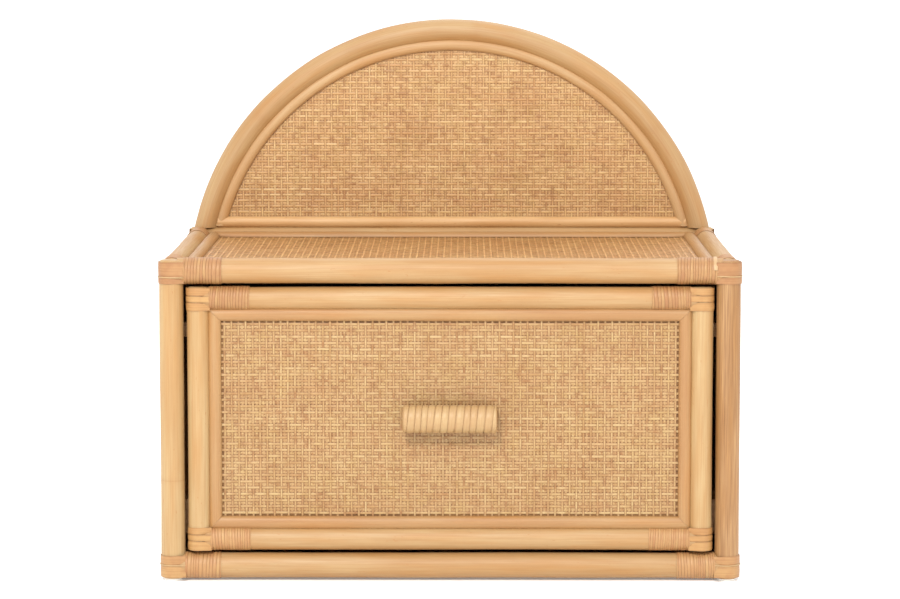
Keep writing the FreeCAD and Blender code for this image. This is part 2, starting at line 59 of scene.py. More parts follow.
PEEL = 0.6 * MM  # thickness of a wound strip
CORNER_WRAP = 33 * MM  # length of a corner winding along its rail
DRAWER_WRAP = 34 * MM
TONE_DRIFT = 8  # how much the tone of a laid strip changes along a metre, in turns
CAP_HEIGHT = 20.5 * MM  # height of the strips laid round a post at its corner
TUCK = 0.9 * MM  # how far those strips run in below the windings beside them
LOOSE = 0.05 * MM  # air between a winding and its pole
CAP_LOOSE = 0.2 * MM  # air between a post and the strips laid round it
BEAD_WIDTH = 10 * MM
BEAD_HEIGHT = 4.5 * MM
BEAD_LAP = 1.6 * MM  # how far a bead is pressed against the pole outside it
FOOT_BEAD_WIDTH = 9 * MM  # of the straight bead along the arch's foot
ARCH_SWELL = 1.5 * MM  # how much the heat and the bending thicken the arch on its inner side
MESH_ACROSS = 6.0 * MM  # from one upright strand of the outer mesh to the next
MESH_UP = 5.53 * MM  # from one level strand of the outer mesh to the next
OPEN_EDGE = 1.5 * MM  # dark slot between a bead and the first strand beside it
# Each mesh: width of its strands, their thickness, the height of their middle over the board, and how far
# they rise over the ones that they cross.
OUTER_MESH = (2.35 * MM, 0.42 * MM, 1.0 * MM, 0.16 * MM)
INNER_MESH = (3.0 * MM, 0.36 * MM, 0.56 * MM, 0.12 * MM)
# The painted shade on a strand's rim, standing for the shadow of the gaps beside it, is full where its
# distance from the middle, in strand widths, times this is 1.
UPRIGHT_RIM_SHADE = 2.5
LEVEL_RIM_SHADE = 1.8

dice = random.Random(1671)


# ---------------------------------------------------------------- bench tools


def start_clean():
    """Leaves edit mode and selects nothing."""
    if bpy.context.mode != "OBJECT":
        bpy.ops.object.mode_set(mode="OBJECT")
    bpy.ops.object.select_all(action="DESELECT")


def only(piece):
    """Selects one piece and makes it the active one."""
    start_clean()
    piece.select_set(True)
    bpy.context.view_layer.objects.active = piece


@contextlib.contextmanager
def shaping(piece):
    """Edit mode on one piece, with all of it selected at first."""
    only(piece)
    bpy.ops.object.mode_set(mode="EDIT")
    bpy.ops.mesh.select_all(action="SELECT")
    yield
    bpy.ops.object.mode_set(mode="OBJECT")


def pick(piece, test):
    """In edit mode, selects only the vertices whose place passes a test."""
    bpy.ops.mesh.select_all(action="DESELECT")
    mesh = bmesh.from_edit_mesh(piece.data)
    for vertex in mesh.verts:
        vertex.select_set(bool(test(vertex.co)))
    mesh.select_flush_mode()
    bmesh.update_edit_mesh(piece.data)


def draw_by(shift):
    """In edit mode, draws the selection out."""
    bpy.ops.mesh.extrude_region_move(TRANSFORM_OT_translate={"value": shift})


FACING = {"x": (0, math.pi / 2, 0), "y": (math.pi / 2, 0, 0), "z": (0, 0, 0)}


def section(facing, sides, size, place, fill="NGON"):
    """An oval that faces an axis, at its size and place, to be drawn out, swept or wound."""
    start_clean()
    bpy.ops.mesh.primitive_circle_add(vertices=sides, radius=0.5, fill_type=fill, rotation=FACING[facing])
    piece = bpy.context.object
    bpy.ops.object.transform_apply(rotation=True)
    piece.scale = size
    piece.location = place
    bpy.ops.object.transform_apply(location=True, scale=True)
    return piece


def fit(piece, kind, **settings):
    """Adds a modifier and applies it."""
    only(piece)
    modifier = piece.modifiers.new(kind.lower(), kind)
    for key, value in settings.items():
        setattr(modifier, key, value)
    bpy.ops.object.modifier_apply(modifier=modifier.name)


def wander(piece, direction, strength, size, stretch=(1, 1, 1)):
    """Shifts a surface by slow noise of a real size, as nothing grown or wound by hand is quite even."""
    texture = bpy.data.textures.new("wander", "CLOUDS")
    texture.noise_scale = size
    anchor = bpy.data.objects.new("wander_anchor", None)
    bpy.context.scene.collection.objects.link(anchor)
    anchor.location = [dice.uniform(-1, 1) for _ in range(3)]
    anchor.scale = stretch
    bpy.context.view_layer.update()
    fit(piece, "DISPLACE", texture=texture, texture_coords="OBJECT", texture_coords_object=anchor,
        direction=direction, strength=strength, mid_level=0.5)
    bpy.data.objects.remove(anchor)
    bpy.data.textures.remove(texture)


def settle(piece, matrix):
    """Puts a piece in its place, with the place in its mesh."""
    only(piece)
    piece.matrix_world = matrix
    bpy.ops.object.transform_apply(location=True, rotation=True, scale=True)


def join(pieces):
    start_clean()
    for piece in pieces:
        piece.select_set(True)
    bpy.context.view_layer.objects.active = pieces[0]
    bpy.ops.object.join()
    return pieces[0]


def outward(piece):
    """Closes doubles and turns every face outwards."""
    with shaping(piece):
        bpy.ops.mesh.remove_doubles(threshold=0.01 * MM)
        bpy.ops.mesh.normals_make_consistent(inside=False)


def cut_off(piece, point, normal):
    """Bisects a piece, clears what lies on the normal's side and closes the cut."""
    with shaping(piece):
        bpy.ops.mesh.bisect(plane_co=point, plane_no=normal, use_fill=True, clear_outer=True)


def smooth(piece, angle=42):
    only(piece)
    bpy.ops.object.shade_smooth_by_angle(angle=math.radians(angle))


def keep(piece, name, body, slot, material, *nodes):
    """Names a finished piece, gives it its material, hangs it under its body and hides the frame's parts
    that it stands in for.
    """
    piece.name = name
    piece.data.name = name
    piece.data.materials.clear()
    piece.data.materials.append(material)
    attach(piece, body)
    if nodes:
        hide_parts(*nodes)


def mark(piece, attribute, values):
    """Writes one number per vertex, for a material to read."""
    layer = piece.data.attributes.new(attribute, "FLOAT", "POINT")
    layer.data.foreach_set("value", values)


def mark_rings(piece, places=(), where=None, tone=0.3, fade=4 * MM):
    """Marks growth rings. Each has its full tone at its place and loses it beside it."""
    mark(piece, "ring", [max([0.0] + [tone - abs(where(v.co) - place) / fade for place in places])
                         for v in piece.data.vertices])


def centre(node):
    """The middle of a node's box."""
    lo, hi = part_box(node)
    return (lo + hi) / 2


def span(node, axis):
    """The size of a node's box along an axis."""
    lo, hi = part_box(node)
    return abs((hi - lo).dot(axis))


def pole_size(node, along):
    """The radius and the length of a pole."""
    return span(node, Z if along is not Z else X) / 2, span(node, along)


def upright(start, along):
    """The place that lays +Z along an axis."""
    return Matrix.Translation(start) @ along.to_track_quat("Z", "Y").to_matrix().to_4x4()


def laid(start, u, v):
    """The place that lays +X along u and +Y along v."""
    return Matrix.Translation(start) @ Matrix((u, v, u.cross(v))).transposed().to_4x4()


# ---------------------------------------------------------------- materials


def linear(code):
    """An sRGB hex value as linear red, green, blue and alpha."""
    parts = [int(code[i:i + 2], 16) / 255 for i in (1, 3, 5)]
    return [c / 12.92 if c <= 0.04045 else ((c + 0.055) / 1.055) ** 2.4 for c in parts] + [1.0]


def put(tree, kind, inputs=(), **settings):
    """Adds one node. inputs gives a socket's name or number, and its value or the output that feeds it."""
    made = tree.nodes.new("ShaderNode" + kind)
    for key, value in settings.items():
        setattr(made, key, value)
    for key, value in dict(inputs).items():
        if isinstance(value, bpy.types.NodeSocket):
            tree.links.new(value, made.inputs[key])
        else:
            made.inputs[key].default_value = value
    return made


def new_material(name):
    """A bare material, its tree and the place of each point of the piece."""
    material = bpy.data.materials.new(name)
    material.use_nodes = True
    material.node_tree.nodes.clear()
    return material, material.node_tree, put(material.node_tree, "TexCoord").outputs["Object"]


def grain(axis, along, across):
    """Size of flecks that are long on one axis and fine on the other two."""
    return [along if axis == name else across for name in "xyz"]


def flecks(tree, place, size, detail, shift=(0, 0, 0), dimensions="3D", roughness=0.5, distortion=0.0):
    """Soft random flecks of a real size, given along each axis of the place."""
    scale = [1 / length for length in size]
    lay = put(tree, "Mapping", {"Vector": place, "Location": shift, "Scale": scale})
    made = put(tree, "TexNoise", {"Vector": lay.outputs[0], "Scale": 1.0, "Detail": detail,
                                  "Roughness": roughness, "Distortion": distortion},
               noise_dimensions=dimensions)
    return made.outputs[0]


def stain(tree, under, pattern, start, full, colour, most=1.0, least=0.0):
    """Lays one colour over another. Its share grows from least to most as the pattern goes from start to
    full."""
    share = put(tree, "MapRange", {0: pattern, 1: start, 2: full, 3: least, 4: most}).outputs[0]
    colour_a, colour_b, result = 6, 7, 2  # the colour sockets of a Mix node
    over = put(tree, "Mix", {0: share, colour_a: under, colour_b: linear(colour)}, data_type="RGBA")
    return over.outputs[result]


def give_surface(tree, inputs, relief=None, strength=0.2, depth=0.1 * MM):
    """Closes a material with its shader. relief is a pattern that lifts the surface by up to depth."""
    if relief is not None:
        bump = put(tree, "Bump", {"Height": relief, "Strength": strength, "Distance": depth})
        inputs = inputs | {"Normal": bump.outputs[0]}
    shader = put(tree, "BsdfPrincipled", inputs)
    put(tree, "OutputMaterial", {0: shader.outputs[0]})


def rattan_pole(name, axis, pale="#ac8c60", body="#a37c4c", warm="#936638", streaks=0.42):
    """Peeled and sanded rattan pole under a thin satin lacquer. It looks pale and warm, with fine long
    fibres, slow drifts of colour, a brown line at each growth ring and a few dark specks."""
    material, tree, place = new_material(name)
    if axis == "arch":
        place = unrolled_arch(tree, place)
        axis = "x"
    fibre = flecks(tree, place, grain(axis, 55 * MM, 0.9 * MM), 4.0, roughness=0.6)
    drift = flecks(tree, place, grain(axis, 120 * MM, 16 * MM), 3.0)
    blush = flecks(tree, place, grain(axis, 75 * MM, 9 * MM), 2.0, shift=(0.3, 0.7, 0.1))
    speck = flecks(tree, place, grain(axis, 5 * MM, 1.6 * MM), 1.0)
    ring = put(tree, "Attribute", attribute_name="ring").outputs["Fac"]
    colour = stain(tree, linear(pale), drift, 0.38, 0.66, body)
    colour = stain(tree, colour, blush, 0.46, 0.7, "#a87437", most=0.42)
    colour = stain(tree, colour, fibre, 0.35, 0.68, warm, most=streaks)
    colour = stain(tree, colour, ring, 0.0, 1.0, "#93602f")
    colour = stain(tree, colour, speck, 0.73, 0.775, "#a0703f", most=0.7)
    rough = put(tree, "MapRange", {0: fibre, 1: 0.3, 2: 0.7, 3: 0.46, 4: 0.62}).outputs[0]
    give_surface(tree, {"Base Color": colour, "Roughness": rough, "IOR": 1.5, "Coat Weight": 0.07,
                  "Coat Roughness": 0.4}, fibre, 0.25, 0.15 * MM)
    return material


def unrolled_arch(tree, place):
    """Places unrolled along the arch: length along the bend, depth, and distance from the centre."""
    parts = put(tree, "SeparateXYZ", {0: place}).outputs
    up = put(tree, "Math", {0: parts[2], 1: ARCH_Z}, operation="SUBTRACT").outputs[0]
    angle = put(tree, "Math", {0: up, 1: parts[0]}, operation="ARCTAN2").outputs[0]
    length = put(tree, "Math", {0: angle, 1: ARCH_R}, operation="MULTIPLY").outputs[0]
    flat = put(tree, "CombineXYZ", {0: parts[0], 1: up, 2: 0.0}).outputs[0]
    radius = put(tree, "VectorMath", {0: flat}, operation="LENGTH").outputs["Value"]
    return put(tree, "CombineXYZ", {0: length, 1: parts[1], 2: radius}).outputs[0]


def cane_strand(name, tones, stained):
    """Flat strips of rattan core woven one over one. Neighbouring strands come from the same batch, so tones
    run in bands along and across. Each strand has fine fibres and a few brown pores, and its rims are
    darkened with painted shade for the gaps between strands."""
    material, tree, place = new_material(name)
    strand_number, reach, edge_shade = (put(tree, "Attribute", attribute_name=label).outputs["Fac"]
                                  for label in ("strand", "reach", "edge_shade"))
    own = put(tree, "TexWhiteNoise", {"W": strand_number}, noise_dimensions="1D").outputs["Value"]
    # On these places the first size is counted in strands, and the second is a length along the strand.
    lay = put(tree, "CombineXYZ", {0: strand_number, 1: reach, 2: 0.0}).outputs[0]
    batch = flecks(tree, lay, (10 / 3, 110 * MM, 1), 2.0, dimensions="2D")
    fibre = flecks(tree, lay, (1 / 7.3, 9 * MM, 1), 2.0, dimensions="2D")
    dash = flecks(tree, lay, (1 / 3.7, 13 * MM, 1), 1.0, dimensions="2D")
    pore = flecks(tree, place, [1.1 * MM] * 3, 2.0)
    patch = flecks(tree, place, grain("x", 48 * MM, 22 * MM), 3.0)
    hue = flecks(tree, place, [11 * MM] * 3, 3.0)
    colour = stain(tree, linear(tones[0]), own, 0.0, 1.0, tones[1])
    colour = stain(tree, colour, batch, 0.40, 0.70, tones[2], most=0.7)
    colour = stain(tree, colour, fibre, 0.45, 0.80, tones[3], most=0.8)
    colour = stain(tree, colour, dash, 0.58, 0.72, "#7f5026", most=0.5)
    colour = stain(tree, colour, patch, 0.56, 0.74, "#8f632f", most=stained)
    colour = stain(tree, colour, hue, 0.50, 0.66, "#ab7b4e", most=0.16)
    colour = stain(tree, colour, hue, 0.50, 0.34, "#b29458", most=0.22)
    colour = stain(tree, colour, pore, 0.64, 0.76, "#8a5829", most=0.5)
    # painted shade: each strand's rims are darkened as if they lay in the shadow of the gaps between strands
    colour = stain(tree, colour, edge_shade, 0.5, 1.0, "#6c3f16", most=0.85)
    rough = put(tree, "MapRange", {0: fibre, 1: 0.3, 2: 0.7, 3: 0.42, 4: 0.58}).outputs[0]
    give_surface(tree, {"Base Color": colour, "Roughness": rough, "IOR": 1.5}, pore)
    return material


def wound_peel(name, tones, seam):
    """Shiny outer bark of rattan, split into strips and wound wet. Each turn has its own tone, fine lines
    along the strip and a silky gloss, and the seam between two turns is brown."""
    material, tree, place = new_material(name)
    turn = put(tree, "Attribute", attribute_name="turn").outputs["Fac"]
    across = put(tree, "Attribute", attribute_name="across").outputs["Fac"]
    own = put(tree, "TexNoise", {"W": turn, "Scale": 1.3, "Detail": 1.0}, noise_dimensions="1D").outputs[0]
    # On these places the first size is counted in turns, and the second in widths of the strip.
    lay = put(tree, "CombineXYZ", {0: turn, 1: across, 2: 0.0}).outputs[0]
    line = flecks(tree, lay, (1 / 2, 1 / 9, 1), 3.0)
    drift = flecks(tree, place, [7 * MM] * 3, 2.0)
    side = put(tree, "Math", {0: across}, operation="ABSOLUTE").outputs[0]
    colour = stain(tree, linear(tones[0]), own, 0.25, 0.75, tones[1], most=0.8, least=0.1)
    colour = stain(tree, colour, drift, 0.45, 0.7, tones[1], most=0.5)
    colour = stain(tree, colour, line, 0.45, 0.7, tones[2], most=0.4)
    colour = stain(tree, colour, side, 0.34, 0.5, "#70441f", most=seam)
    give_surface(tree, {"Base Color": colour, "Roughness": 0.5, "IOR": 1.5, "Coat Weight": 0.06,
                  "Coat Roughness": 0.35}, line, 0.2, 0.12 * MM)
    return material


def plywood(name, thin_axis, grain_axis, pale="#d9b384", dark="#b5854f"):
    """Rotary-cut plywood, sanded and left bare: wavy grain on the faces and thin layers on the edges."""
    material, tree, place = new_material(name)
    figure = flecks(tree, place, grain(grain_axis, 160 * MM, 7 * MM), 5.0, distortion=0.8)
    fine = flecks(tree, place, grain(grain_axis, 30 * MM, 0.8 * MM), 3.0)
    depth = put(tree, "SeparateXYZ", {0: place}).outputs["xyz".index(thin_axis)]
    layers = put(tree, "Math", {0: depth, 1: 1 / (2.4 * MM)}, operation="MULTIPLY").outputs[0]
    ply = put(tree, "Math", {0: layers}, operation="FRACT").outputs[0]
    colour = stain(tree, linear(pale), figure, 0.35, 0.68, dark)
    colour = stain(tree, colour, fine, 0.45, 0.75, "#8f6337", most=0.35)
    colour = stain(tree, colour, ply, 0.48, 0.52, "#94683a", most=0.3)
    give_surface(tree, {"Base Color": colour, "Roughness": 0.62, "IOR": 1.5}, fine, 0.15)
    return material


def plated_steel(name):
    """Zinc-plated screw steel: dull grey with faint cloudy patches."""
    material, tree, place = new_material(name)
    cloud = flecks(tree, place, [1.5 * MM] * 3, 3.0)
    colour = stain(tree, linear("#c9c6bd"), cloud, 0.0, 1.0, "#a9a59a")
    rough = put(tree, "MapRange", {0: cloud, 3: 0.25, 4: 0.45}).outputs[0]
    give_surface(tree, {"Base Color": colour, "Metallic": 1.0, "Roughness": rough})
    return material


def glide_nylon(name):
    """Moulded natural nylon: off-white, waxy, with fine scuffs."""
    material, tree, place = new_material(name)
    scuff = flecks(tree, place, [0.9 * MM] * 3, 3.0)
    colour = stain(tree, linear("#ece9e3"), scuff, 0.0, 1.0, "#dedad1")
    rough = put(tree, "MapRange", {0: scuff, 3: 0.4, 4: 0.6}).outputs[0]
    give_surface(tree, {"Base Color": colour, "Roughness": rough, "IOR": 1.53})
    return material


def studio_paper(name):
    """Matt white paper on a light table: a faint tooth, and a weak glow that fills in shadows."""
    material, tree, place = new_material(name)
    tooth = flecks(tree, place, [2 * MM] * 3, 2.0)
    colour = stain(tree, linear("#fbfbfa"), tooth, 0.0, 1.0, "#f7f7f6")
    give_surface(tree, {"Base Color": colour, "Roughness": 0.9, "Emission Color": linear("#ffffff"),
                  "Emission Strength": 0.16})
    return material


# ---------------------------------------------------------------- places from the frame

arch_lo, arch_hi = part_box("arch_pole")
ARCH_RADIUS = (arch_hi.y - arch_lo.y) / 2  # of the pole itself
ARCH_Y = (arch_hi.y + arch_lo.y) / 2
POST_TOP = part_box("post_back_left")[1].z
RAIL_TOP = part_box("top_rail_back")[1].z
crest = arch_hi.z - ARCH_RADIUS
foot_inset = 4.15 * MM  # the arch stands this much inside the middles of the posts
foot_x = -centre("post_back_left").x - foot_inset
# The middle of the pole passes through (foot_x, RAIL_TOP) and (0, crest).
ARCH_R = (foot_x**2 + (crest - RAIL_TOP) ** 2) / (2 * (crest - RAIL_TOP))
ARCH_Z = crest - ARCH_R

pole_x = rattan_pole("peeled_rattan_along_x", "x")
pole_y = rattan_pole("peeled_rattan_along_y", "y")
pole_z = rattan_pole("peeled_rattan_upright", "z", "#b19568", "#a88454", "#966b3e")
brown_pole_z = rattan_pole("browner_rattan_upright", "z", "#ae8759", "#966b3a", "#6b401c", 0.66)
pole_arch = rattan_pole("peeled_rattan_bent", "arch", "#a98a5e", "#a17b4c", "#916438")
# painted light: the front foot bead is paler than the one at the back, to make up for the shade it lies in
# below the arch
foot_bead_painted_light = rattan_pole("split_cane_with_painted_light", "x", "#c39d6b", "#bb905f", "#ab7b4a")
bead_mats = {axis: rattan_pole(f"split_cane_along_{axis}", axis, "#a47f51", "#9e7446", "#906137")
             for axis in "xyz"}
# painted light: the bent bead is paler than the straight beads, to make up for the shade at the arch
bead_mats["arch"] = rattan_pole("split_cane_bent", "arch", "#b29165", "#ac8557", "#9c6f44")
peel_mats = {"top": wound_peel("wound_rattan_peel", ("#ab8453", "#996840", "#774a22"), 0.5),
             "bottom": wound_peel("paler_wound_peel", ("#b58f5d", "#a37248", "#835429"), 0.5)}
cap_mats = {"top": wound_peel("flat_laid_peel", ("#a67b4d", "#93613a", "#764920"), 0.35),
            "bottom": wound_peel("paler_laid_peel", ("#b08956", "#9d6d43", "#815328"), 0.35)}
drawer_cap_mat = wound_peel("palest_laid_peel", ("#b38c56", "#a37341", "#845625"), 0.5)
pale_peel = wound_peel("bleached_peel", ("#b99a70", "#b19066", "#a27f56"), 0.1)
handle_peel = wound_peel("pale_wound_peel", ("#b29568", "#a98559", "#8d6136"), 0.3)
front_canes = (
    cane_strand("woven_cane_outer_mesh", ("#b49768", "#a88557", "#9b7342", "#8d6133"), 0.1),
    cane_strand("woven_cane_inner_mesh", ("#b19263", "#a78253", "#9a7243", "#8a5e32"), 0.45),
)
# painted light: the arch's canes are paler than the front's, to make up for the shade that falls on the arch
arch_canes_painted_light = (
    cane_strand("arch_cane_outer_mesh", ("#c6a572", "#ba935e", "#af804e", "#9d7140"), 0.2),
    cane_strand("arch_cane_inner_mesh", ("#c2a06d", "#b88e5b", "#ab7d4a", "#98693b"), 0.6),
)
# painted light: the top's canes are much paler than the front's, to make up for the little light that falls
# on the top
top_canes_painted_light = (
    cane_strand("top_cane_outer_mesh", ("#d5a86c", "#c8965e", "#bd844c", "#af7741"), 0.1),
    cane_strand("top_cane_inner_mesh", ("#eeba77", "#e2ac6a", "#d39658", "#be8048"), 0.5),
)
steel_mat = plated_steel("zinc_plated_steel")
nylon_mat = glide_nylon("moulded_nylon")


# ---------------------------------------------------------------- poles

STATION_PITCH = 22 * MM  # between the places where a pole's thickness varies
STATION_GAP = 6 * MM  # the least from such a place to a growth ring or an end
# Along a pole: distance from a growth ring in millimetres, and the share of the radius there.
RING_PROFILE = ((-4, 1.0), (-0.9, 1.012), (0, 0.998), (0.9, 1.01), (5, 1.0))
# Growth rings, as shares of a pole's length.
RING_PLACES = {
    "post_front_left": (0.31,), "post_back_left": (0.22, 0.7), "post_back_right": (0.55,),
    "top_rail_back": (0.37,), "bottom_rail_back": (0.8,), "top_rail_left": (0.6,),
    "bottom_rail_right": (0.28,),
}


def both_ends(rounding, length):
    """Stations at one end of a pole, and the same at the other end."""
    return list(rounding) + [(length - place, size) for place, size in reversed(rounding)]


def drawn_out(radius, stations):
    """A round bar along +Z from Z = 0. Each station is a place and the share of the radius there."""
    first = 2 * radius * stations[0][1]
    piece = section("z", 32, (first, first, 1), (0, 0, 0))
    with shaping(piece):
        for (a, size_a), (b, size_b) in zip(stations, stations[1:]):
            draw_by((0, 0, b - a))
            ratio = size_b / size_a
            bpy.ops.transform.resize(value=(ratio, ratio, 1), center_override=(0, 0, b))
    return piece


def pole(name, node, along, body, material):
    """One pole with eased ends, a low ridge at each growth ring and slightly uneven thickness between."""
    radius, length = pole_size(node, along)
    ease = 2.2 * MM if along is Z else 0.7 * MM
    stations = both_ends(((0, 1 - ease / radius), (0.3 * ease, 1 - 0.45 * ease / radius), (ease, 1)), length)
    rings = [share * length for share in RING_PLACES.get(node, ())]
    for ring in rings:
        stations += [(ring + away * MM, size) for away, size in RING_PROFILE]
    taken = [place for place, _ in stations]
    count = int(length / STATION_PITCH)
    for k in range(1, count):
        place = k * length / count
        if min(abs(place - other) for other in taken) > STATION_GAP:
            stations.append((place, dice.uniform(0.992, 1.004)))
    stations.sort()
    piece = drawn_out(radius, stations)
    mark_rings(piece, rings, lambda point: point.z)
    outward(piece)
    for direction in "XY":
        wander(piece, direction, 0.9 * MM, 60 * MM, (1, 1, 2))
    settle(piece, upright(centre(node) - along * length / 2, along))
    smooth(piece)
    keep(piece, name, body, "rattan_pole", material, node)


for end, _ in ENDS:
    for side, _ in SIDES:
        darker = (end, side) == ("front", "right")
        pole(f"{end}_{side}_post", f"post_{end}_{side}", Z, "cabinet", brown_pole_z if darker else pole_z)
    for level in LEVELS:
        pole(f"{level}_{end}_pole", f"{level}_rail_{end}", X, "cabinet", pole_x)
for side, _ in SIDES:
    for level in LEVELS:
        pole(f"{level}_{side}_pole", f"{level}_rail_{side}", Y, "cabinet", pole_y)
    pole(f"drawer_{side}_pole", f"drawer_stile_{side}", Z, "drawer", pole_z)
for level in LEVELS:
    pole(f"drawer_{level}_pole", f"drawer_rail_{level}", X, "drawer", pole_x)


def swept_arch(piece, steps):
    """Sweeps a section half round the arch's centre."""
    with shaping(piece):
        bpy.ops.mesh.spin(steps=steps, angle=math.pi, center=(0, ARCH_Y, ARCH_Z), axis=Y, dupli=False)
    outward(piece)


def arch_pole():
    """The bent pole: a round section swept about the arch's centre and cut level on the back posts. It is
    swollen inwards, so that the bead laps over its side."""
    thickness = 2 * (ARCH_RADIUS + ARCH_SWELL)
    piece = section("z", 32, (thickness, thickness, 1), (ARCH_R - ARCH_SWELL, ARCH_Y, ARCH_Z))
    swept_arch(piece, 96)
    cut_off(piece, (0, 0, POST_TOP), -Z)
    rings = [ARCH_R * math.radians(angle) for angle in (38, 84, 139)]
    mark_rings(piece, rings, lambda point: ARCH_R * math.atan2(point.z - ARCH_Z, point.x), 0.2, 25 * MM)
    wander(piece, "NORMAL", 0.8 * MM, 45 * MM)
    smooth(piece)
    keep(piece, "arch_bent_pole", "cabinet", "rattan_pole", pole_arch, "arch_pole")


arch_pole()


# ---------------------------------------------------------------- windings


def peel_strip(radius, widths, first, thick=PEEL, hand=1):
    """A strip of peel wound about +Z from Z = 0, an oval section carried round and up by a screw. Each turn
    has its own width and lies edge to edge with the next, so that the first and the last one taper out along
    the ends. Turns are numbered from first. hand is 1 for a right-handed winding and -1 for the other."""
    turns = len(widths) + 1
    edges = [0.0, *itertools.accumulate(widths, initial=0.0)]
    edges.append(edges[-1])
    lane = sum(widths) / turns  # height of one turn while all are even
    filled = 0.98  # share of its lane that a turn fills, so that neighbours don't touch
    piece = section("y", 8, (thick, 1, filled * lane), (radius + thick / 2, 0, 0), "NOTHING")
    steps = round(26 * turns)
    fit(piece, "SCREW", angle=hand * 2 * math.pi * turns, screw_offset=lane * turns, steps=steps,
        render_steps=steps, use_normal_calculate=True)
    turn, across = [], []
    for v in piece.data.vertices:
        around = hand * math.atan2(v.co.y, v.co.x) / (2 * math.pi) % 1.0
        place = round(v.co.z / lane - around) + around
        share = (v.co.z - lane * place) / lane
        place = min(max(place, 0.0), turns - 0.0001)
        lap = int(place)
        low = edges[lap] + (edges[lap + 1] - edges[lap]) * (place - lap)
        high = edges[lap + 1] + (edges[lap + 2] - edges[lap + 1]) * (place - lap)
        v.co.z = (low + high) / 2 + share * (high - low)
        turn.append(first + place)
        across.append(share)
    mark(piece, "turn", turn)
    mark(piece, "across", across)
    outward(piece)
    return piece


def uneven(total, shares, least, most):
    """Parts that fill a total, each a little off its share."""
    shares = [share * dice.uniform(least, most) for share in shares]
    return [total * share / sum(shares) for share in shares]


def uneven_widths(length, width, spread):
    """Widths of neighbouring turns that fill a length."""
    return uneven(length, [1] * round(length / width), 1 - spread, 1 + spread)


def winding(rail, against, away, hidden, wrap, slack, strips, first):
    """Peel wound round a rail, turn beside turn, from where it leaves what it stands against. Its ends lie
    on the rail's hidden side. slack, and strips, the least and the greatest width of a turn, are in
    millimetres."""
    low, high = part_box(against)
    face = high if sum(away) > 0 else low
    middle = centre(rail)
    length = wrap + dice.uniform(-slack, slack) * MM
    widths = uneven_widths(length, dice.uniform(*strips) * MM, 0.45)
    piece = peel_strip(pole_size(rail, away)[0] + LOOSE, widths, first, hand=dice.choice((-1, 1)))
    wander(piece, "Z", 1.2 * MM, 8 * MM, (3, 3, 1))
    wander(piece, "NORMAL", 0.2 * MM, 6 * MM)
    settle(piece, laid(middle + away * (face - middle).dot(away), hidden, away.cross(hidden)))
    smooth(piece, 60)
    return piece


turn_numbers = itertools.count(20, 20)  # where each winding's turns are numbered from
for level in LEVELS:
    made = []
    for end, sy in ENDS:
        for side, sx in SIDES:
            long_rail, post = f"{level}_rail_{end}", f"post_{end}_{side}"
            first = next(turn_numbers)
            if (level, end) != ("top", "back"):
                made.append(winding(long_rail, post, X * -sx, Y * -sy, CORNER_WRAP, 2, (2.1, 3.0), first))
            made.append(winding(f"{level}_rail_{side}", long_rail, Y * -sy, X * -sx, CORNER_WRAP, 2,
                                (2.1, 3.0), next(turn_numbers)))
    keep(join(made), f"{level}_rail_windings", "cabinet", "cane_peel", peel_mats[level])


def corner_strip(middle, post_radius, sides, quarter_turns, start, finish, height):
    """One strip of peel laid round the outside of a post: from one rail, round the post, and on to its end.
    start and finish are where its middle begins and ends, under other windings."""
    sx, sy = sides
    radius = post_radius + PEEL / 2 + CAP_LOOSE
    piece = section("x", 10, (1, PEEL, height), start)
    half = (middle + Y * sy * radius - start) / 2
    bow = Y * sy * 0.3 * MM  # the stretch from the rail to the post bulges a little
    beyond = X * sx if quarter_turns == 1 else Y * -sy
    with shaping(piece):
        draw_by(half + bow)
        draw_by(half - bow)
        bpy.ops.mesh.spin(steps=8 * quarter_turns, angle=sx * sy * quarter_turns * math.pi / 2,
                          center=middle, axis=Z, dupli=False)
        draw_by(finish - middle - beyond * radius)
    outward(piece)
    number = dice.randrange(500)
    mark(piece, "turn", [number + 0.5 + TONE_DRIFT * (v.co.x + v.co.y - middle.x - middle.y)
                         for v in piece.data.vertices])
    return piece


def mark_across(piece, axis, middle, width):
    """Marks how far each point lies from the middle of a strip, in widths of it."""
    mark(piece, "across", [(v.co.dot(axis) - middle) / width for v in piece.data.vertices])


def face_depth(rail, height, least):
    """How far a rail's face lies from its axis at a height, though no less than a share of its radius."""
    radius = span(rail, Z) / 2
    return math.sqrt(max(radius**2 - (height - centre(rail).z) ** 2, (least * radius) ** 2))


def post_cap(level, end, sy, side, sx):
    """Two broad strips round the outside of one post, from the long rail to the side rail, and a thin pale
    strip over the seam between them."""
    low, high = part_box(f"post_{end}_{side}")
    post = (low + high) / 2
    radius = (high.x - low.x) / 2
    long_rail, side_rail = f"{level}_rail_{end}", f"{level}_rail_{side}"
    margin = 1.1 * MM  # the outermost edge lies this far from the post's end
    foot = high.z - CAP_HEIGHT if level == "top" else low.z + margin
    shares = (0.33, 0.67) if level == "top" else (0.56, 0.44)
    first, second = uneven(CAP_HEIGHT - margin, shares, 0.92, 1.08)
    seam = foot + first
    made = []
    for height_at, height, proud in (
        (foot + first / 2, first, 0), (seam + second / 2, second, 0), (seam, 1.3 * MM, 0.45 * MM),
    ):
        lift = proud / 2 - 0.1 * MM
        out_y = face_depth(long_rail, height_at, 0.45) + lift
        out_x = face_depth(side_rail, height_at, 0.45) + lift
        start = Vector((post.x - sx * (radius + TUCK), centre(long_rail).y + sy * out_y, height_at))
        finish = Vector((centre(side_rail).x + sx * out_x, post.y - sy * (radius + TUCK), height_at))
        tilt = dice.uniform(-0.5, 0.5) * MM
        start.z += tilt
        finish.z -= tilt
        piece = corner_strip(Vector((post.x, post.y, height_at)), radius + proud, (sx, sy), 1, start, finish,
                             height - 0.12 * MM)
        mark_across(piece, Z, height_at, height)
        made.append(piece)
    return made[:2], made[2]


